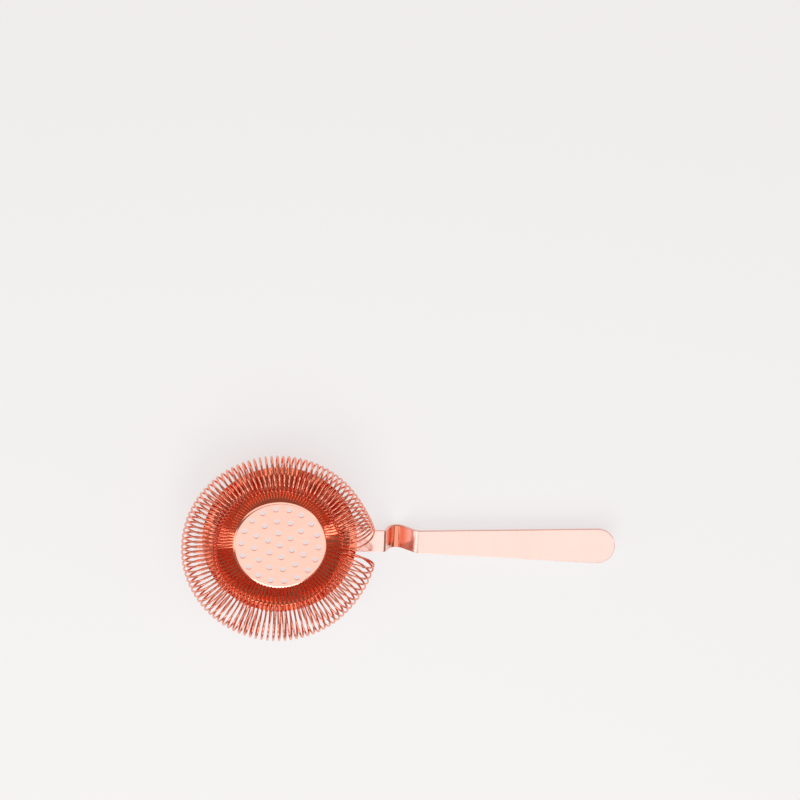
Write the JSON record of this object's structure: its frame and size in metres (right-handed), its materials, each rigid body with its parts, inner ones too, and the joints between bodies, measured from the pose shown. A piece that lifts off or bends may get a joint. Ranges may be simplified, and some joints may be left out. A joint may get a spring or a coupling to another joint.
{
  "type": "hawthorne strainer",
  "caption": "Bar strainer with a pierced dish, a flat handle with a bent finger rest, and a coiled wire spring round the dish that grips the mouth of a shaker tin.",
  "frame": {"origin": "centre of the mouth of the tin that the strainer covers, in the plane of the neck's spring-side face, on the axis of the dish", "axes": "+X along the handle towards its tip, +Z along the dish's axis towards the spring, which points up as the strainer lies here and down into the tin in use, +Y completes a right-handed frame"},
  "size_m": [0.2162, 0.096, 0.0295],
  "materials": {
    "dish_rose_gold": "polished",
    "handle_rose_gold": "satin",
    "spring_wire": "polished"
  },
  "bodies": {
    "strainer": {"dish": "dish_rose_gold", "handle": "handle_rose_gold"},
    "coil": {"spring": "spring_wire"}
  },
  "joints": [
    {"name": "spring_lift_off", "type": "slide", "parent": "strainer", "child": "coil", "axis": [0, 0, 1], "range_m": [0, 0.03]}
  ]
}
